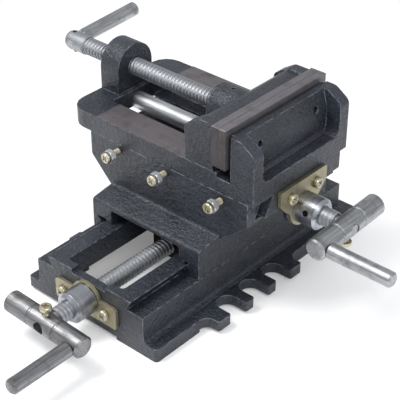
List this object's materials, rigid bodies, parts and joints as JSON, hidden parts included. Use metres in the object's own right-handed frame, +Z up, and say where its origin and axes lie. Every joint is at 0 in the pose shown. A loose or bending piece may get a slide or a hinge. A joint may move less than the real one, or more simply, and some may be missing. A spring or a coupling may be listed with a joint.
{
  "type": "drill press cross slide vise",
  "caption": "Compound cross-slide vise for a drill press table: slotted base, two crossed dovetail slides with cranked feed screws, and a screw-closed jaw with ground jaw plates.",
  "frame": {"origin": "under the middle of the whole vise's box, on the table surface", "axes": "+Z up; +X along the jaw screw from its handle to the fixed jaw and the upper crank; +Y along the lower slide, away from the lower crank"},
  "size_m": [0.381, 0.3818, 0.1703],
  "materials": {
    "enamel": "dark blue-grey textured cast enamel",
    "bright_steel": "turned and ground bright steel",
    "jaw_steel": "ground hardened jaw steel",
    "yellow_zinc": "yellow-passivated zinc plate",
    "bronze": "plain machined bronze"
  },
  "bodies": {
    "base": {"base_casting": "enamel", "lower_retaining_plate": "yellow_zinc", "lower_plate_screw_1": "yellow_zinc", "lower_plate_screw_2": "yellow_zinc"},
    "saddle": {"saddle_casting": "enamel", "lower_gib": "bright_steel", "upper_gib": "bright_steel", "lower_feed_nut": "bronze", "upper_feed_nut": "bronze", "upper_gib_screw_1": "yellow_zinc", "upper_gib_lock_nut_1": "bright_steel", "upper_gib_screw_2": "yellow_zinc", "upper_gib_lock_nut_2": "bright_steel", "upper_gib_screw_3": "yellow_zinc", "upper_gib_lock_nut_3": "bright_steel", "lower_gib_screw_1": "yellow_zinc", "lower_gib_lock_nut_1": "bright_steel", "lower_gib_screw_2": "yellow_zinc", "lower_gib_lock_nut_2": "bright_steel", "lower_gib_screw_3": "yellow_zinc", "lower_gib_lock_nut_3": "bright_steel"},
    "vise_body": {"vise_body_casting": "enamel", "guide_rod": "bright_steel", "upper_retaining_plate": "yellow_zinc", "upper_plate_screw_1": "yellow_zinc", "upper_plate_screw_2": "yellow_zinc", "fixed_jaw_plate": "jaw_steel", "fixed_jaw_plate_screw_1": "bright_steel", "fixed_jaw_plate_screw_2": "bright_steel"},
    "moving_jaw": {"moving_jaw_casting": "enamel", "moving_jaw_plate": "jaw_steel", "moving_jaw_plate_screw_1": "bright_steel", "moving_jaw_plate_screw_2": "bright_steel", "jaw_screw_keeper_pin": "bright_steel"},
    "jaw_screw": {"jaw_screw": "bright_steel", "jaw_screw_handle": "bright_steel", "jaw_handle_lock_screw": "bright_steel"},
    "lower_feed": {"lower_feed_screw": "bright_steel", "lower_feed_collar": "bright_steel", "lower_collar_set_screw": "bright_steel", "lower_crank_arm": "bright_steel", "lower_crank_grip": "bright_steel", "lower_crank_lock_screw": "bright_steel"},
    "upper_feed": {"upper_feed_screw": "bright_steel", "upper_feed_collar": "bright_steel", "upper_collar_set_screw": "bright_steel", "upper_crank_arm": "bright_steel", "upper_crank_grip": "bright_steel", "upper_crank_lock_screw": "bright_steel"}
  },
  "joints": [
    {"name": "saddle_slide", "type": "slide", "parent": "base", "child": "saddle", "axis": [0, 1, 0], "range_m": [-0.06, 0.02]},
    {"name": "body_slide", "type": "slide", "parent": "saddle", "child": "vise_body", "axis": [1, 0, 0], "range_m": [0, 0.08]},
    {"name": "jaw_slide", "type": "slide", "parent": "vise_body", "child": "moving_jaw", "axis": [-1, 0, 0], "range_m": [0, 0.09]},
    {"name": "jaw_screw_turn", "type": "hinge", "parent": "moving_jaw", "child": "jaw_screw", "pos_m": [-0.1075, 0.0735, 0.1476], "axis": [-1, 0, 0], "range_deg": [0, 8645]},
    {"name": "upper_feed_turn", "type": "hinge", "parent": "vise_body", "child": "upper_feed", "pos_m": [0.08, 0.0735, 0.0842], "axis": [1, 0, 0], "range_deg": [0, 7685]},
    {"name": "lower_feed_turn", "type": "hinge", "parent": "base", "child": "lower_feed", "pos_m": [-0.0185, -0.0804, 0.029], "axis": [0, -1, 0], "range_deg": [-5763, 1923]}
  ],
  "couplings": [
    {"joint": "jaw_screw_turn", "follows": "jaw_slide", "rad_per_m": 1675.5},
    {"joint": "upper_feed_turn", "follows": "body_slide", "rad_per_m": 1675.5},
    {"joint": "lower_feed_turn", "follows": "saddle_slide", "rad_per_m": 1675.5}
  ]
}
